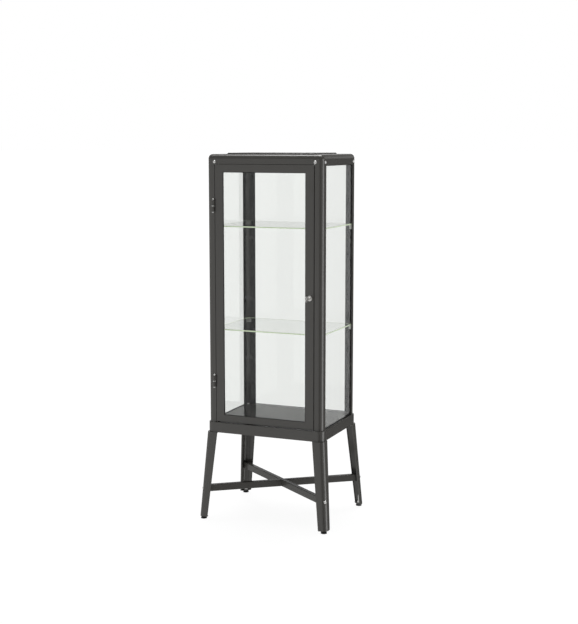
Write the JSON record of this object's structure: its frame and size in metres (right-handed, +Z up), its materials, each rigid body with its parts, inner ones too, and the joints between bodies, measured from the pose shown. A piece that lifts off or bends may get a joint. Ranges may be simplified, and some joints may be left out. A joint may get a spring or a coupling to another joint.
{
  "type": "tower display case",
  "caption": "Tall glazed display case on splayed legs: steel frame, lockable hinged glass door, loose glass shelves and a crossed stretcher.",
  "frame": {"origin": "on the floor, at the middle of the footprint of the four splayed legs", "axes": "+Z up, +X to the right seen from the door, door towards -Y"},
  "size_m": [0.568, 0.4545, 1.507],
  "materials": {
    "bright_steel": "polished steel",
    "clear_glass": "clear tempered, polished",
    "clip_steel": "dark coated spring steel",
    "dark_paint": "semi-gloss powder coat, fine texture, dark warm grey",
    "floor_paint": "glossy powder coat, dark warm grey",
    "foot_plastic": "black, matt",
    "key_steel": "nickel plated, light wear",
    "nickel": "satin nickel plated",
    "rubber": "matt black",
    "shelf_glass": "clear tempered, green at the ground edges",
    "soft_pad": "translucent grey",
    "support_metal": "light grey plated steel",
    "zinc": "bright zinc plated"
  },
  "bodies": {
    "cabinet": {"back_glass": "clear_glass", "back_glass_gasket": "rubber", "base_frame": "dark_paint", "door_bumpers": "rubber", "floor_panel": "floor_paint", "foot_weld_nuts": "zinc", "glass_clips": "clip_steel", "head_brackets": "dark_paint", "head_screws": "zinc", "hinge_pin_lower": "bright_steel", "hinge_pin_upper": "bright_steel", "hinge_post_leaf_lower": "dark_paint", "hinge_post_leaf_upper": "dark_paint", "hinge_washers": "bright_steel", "leg_back_left": "dark_paint", "leg_back_right": "dark_paint", "leg_bolts": "zinc", "leg_front_left": "dark_paint", "leg_front_right": "dark_paint", "leg_nuts": "zinc", "post_back_left": "dark_paint", "post_back_right": "dark_paint", "post_foot_screws": "zinc", "post_front_left": "dark_paint", "post_front_right": "dark_paint", "shelf_pads": "soft_pad", "shelf_supports_lower": "support_metal", "shelf_supports_upper": "support_metal", "side_glass_gasket_left": "rubber", "side_glass_gasket_right": "rubber", "side_glass_left": "clear_glass", "side_glass_right": "clear_glass", "stretcher_bar_lower": "dark_paint", "stretcher_bar_upper": "dark_paint", "stretcher_centre_screw": "zinc", "stretcher_end_screws": "zinc", "top_panel": "dark_paint"},
    "door": {"door_frame": "dark_paint", "door_glass": "clear_glass", "door_glass_gasket": "rubber", "door_glass_bead": "dark_paint", "hinge_door_leaf_upper": "dark_paint", "hinge_door_leaf_lower": "dark_paint", "lock_housing": "nickel", "lock_nut": "zinc"},
    "lock": {"lock_plug": "nickel", "lock_cam": "zinc", "cam_screw": "zinc"},
    "key": {"key": "key_steel"},
    "upper_shelf": {"shelf_upper": "shelf_glass"},
    "lower_shelf": {"shelf_lower": "shelf_glass"},
    "foot_front_left": {"foot_pad_front_left": "foot_plastic", "foot_stud_front_left": "zinc"},
    "foot_front_right": {"foot_pad_front_right": "foot_plastic", "foot_stud_front_right": "zinc"},
    "foot_back_left": {"foot_pad_back_left": "foot_plastic", "foot_stud_back_left": "zinc"},
    "foot_back_right": {"foot_pad_back_right": "foot_plastic", "foot_stud_back_right": "zinc"}
  },
  "joints": [
    {"name": "door_hinge", "type": "hinge", "parent": "cabinet", "child": "door", "pos_m": [-0.2208, -0.1938, 0.9], "axis": [0, 0, -1], "range_deg": [0, 110]},
    {"name": "lock_turn", "type": "hinge", "parent": "door", "child": "lock", "pos_m": [0.195, -0.18, 0.9395], "axis": [0, -1, 0], "range_deg": [0, 90]},
    {"name": "key_slide", "type": "slide", "parent": "lock", "child": "key", "axis": [0, -1, 0], "range_m": [0, 0.024]},
    {"name": "upper_shelf_lift", "type": "slide", "parent": "cabinet", "child": "upper_shelf", "axis": [0, 0, 1], "range_m": [0, 0.02]},
    {"name": "lower_shelf_lift", "type": "slide", "parent": "cabinet", "child": "lower_shelf", "axis": [0, 0, 1], "range_m": [0, 0.02]},
    {"name": "foot_front_left_screw", "type": "slide", "parent": "cabinet", "child": "foot_front_left", "axis": [0, 0, -1], "range_m": [0, 0.015]},
    {"name": "foot_front_right_screw", "type": "slide", "parent": "cabinet", "child": "foot_front_right", "axis": [0, 0, -1], "range_m": [0, 0.015]},
    {"name": "foot_back_left_screw", "type": "slide", "parent": "cabinet", "child": "foot_back_left", "axis": [0, 0, -1], "range_m": [0, 0.015]},
    {"name": "foot_back_right_screw", "type": "slide", "parent": "cabinet", "child": "foot_back_right", "axis": [0, 0, -1], "range_m": [0, 0.015]}
  ]
}
